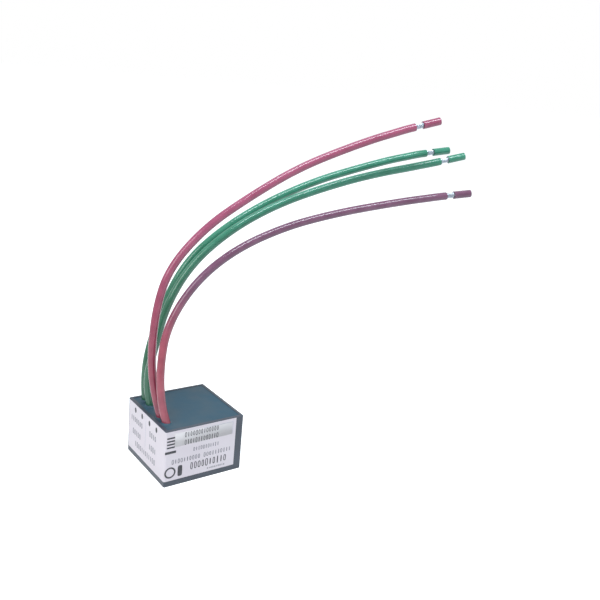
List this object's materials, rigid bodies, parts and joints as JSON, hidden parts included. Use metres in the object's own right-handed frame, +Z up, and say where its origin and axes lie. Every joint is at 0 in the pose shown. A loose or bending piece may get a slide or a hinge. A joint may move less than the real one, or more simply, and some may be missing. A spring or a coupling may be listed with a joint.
{
  "type": "network line terminator module",
  "caption": "Small square potted electronics module with a wrap-round label and stiff hook-up wire leads that arch out of its top, each with a semi-stripped end.",
  "frame": {"origin": "middle of the cup's flat underside", "axes": "+X to the right along the labelled front wall, +Y from that wall to the back, +Z up out of the potting"},
  "size_m": [0.1008, 0.0413, 0.11],
  "materials": {
    "cup_plastic": "satin",
    "potting": "satin",
    "label_film": "satin",
    "board_laminate": "satin",
    "copper": "satin",
    "solder": "gloss",
    "can_aluminium": "satin",
    "winding": "matte",
    "bung_rubber": "matte",
    "capacitor_sleeve": "gloss",
    "tinned_wire": "satin",
    "resistor_coating": "satin",
    "green_insulation": "satin",
    "red_insulation": "satin",
    "tinned_strands": "satin"
  },
  "bodies": {
    "root": {"housing_cup": "cup_plastic", "potting_fill": "potting", "label": "label_film", "circuit_board": "board_laminate", "copper_tracks": "copper", "solder_joints": "solder", "capacitor_1_can": "can_aluminium", "capacitor_1_winding": "winding", "capacitor_1_bung": "bung_rubber", "capacitor_1_sleeve": "capacitor_sleeve", "capacitor_1_pins": "tinned_wire", "resistor_1_body": "resistor_coating", "resistor_1_wires": "tinned_wire", "capacitor_2_can": "can_aluminium", "capacitor_2_winding": "winding", "capacitor_2_bung": "bung_rubber", "capacitor_2_sleeve": "capacitor_sleeve", "capacitor_2_pins": "tinned_wire", "resistor_2_body": "resistor_coating", "resistor_2_wires": "tinned_wire", "green_lead_1_insulation": "green_insulation", "green_lead_1_conductor": "tinned_strands", "green_lead_2_insulation": "green_insulation", "green_lead_2_conductor": "tinned_strands", "red_lead_1_insulation": "red_insulation", "red_lead_1_conductor": "tinned_strands", "red_lead_2_insulation": "red_insulation", "red_lead_2_conductor": "tinned_strands"},
    "green_lead_1_tip": {"green_lead_1_tip_sleeve": "green_insulation"},
    "green_lead_2_tip": {"green_lead_2_tip_sleeve": "green_insulation"},
    "red_lead_1_tip": {"red_lead_1_tip_sleeve": "red_insulation"},
    "red_lead_2_tip": {"red_lead_2_tip_sleeve": "red_insulation"}
  },
  "joints": [
    {"name": "green_lead_1_tip_pull", "type": "slide", "parent": "root", "child": "green_lead_1_tip", "axis": [0.9563, -0.2472, 0.1561], "range_m": [-0.0026, 0.0055]},
    {"name": "green_lead_2_tip_pull", "type": "slide", "parent": "root", "child": "green_lead_2_tip", "axis": [0.9141, -0.3179, 0.2517], "range_m": [-0.0026, 0.0055]},
    {"name": "red_lead_1_tip_pull", "type": "slide", "parent": "root", "child": "red_lead_1_tip", "axis": [0.9202, -0.2767, 0.2767], "range_m": [-0.0026, 0.0055]},
    {"name": "red_lead_2_tip_pull", "type": "slide", "parent": "root", "child": "red_lead_2_tip", "axis": [0.9459, -0.2969, 0.1312], "range_m": [-0.0026, 0.0055]}
  ]
}
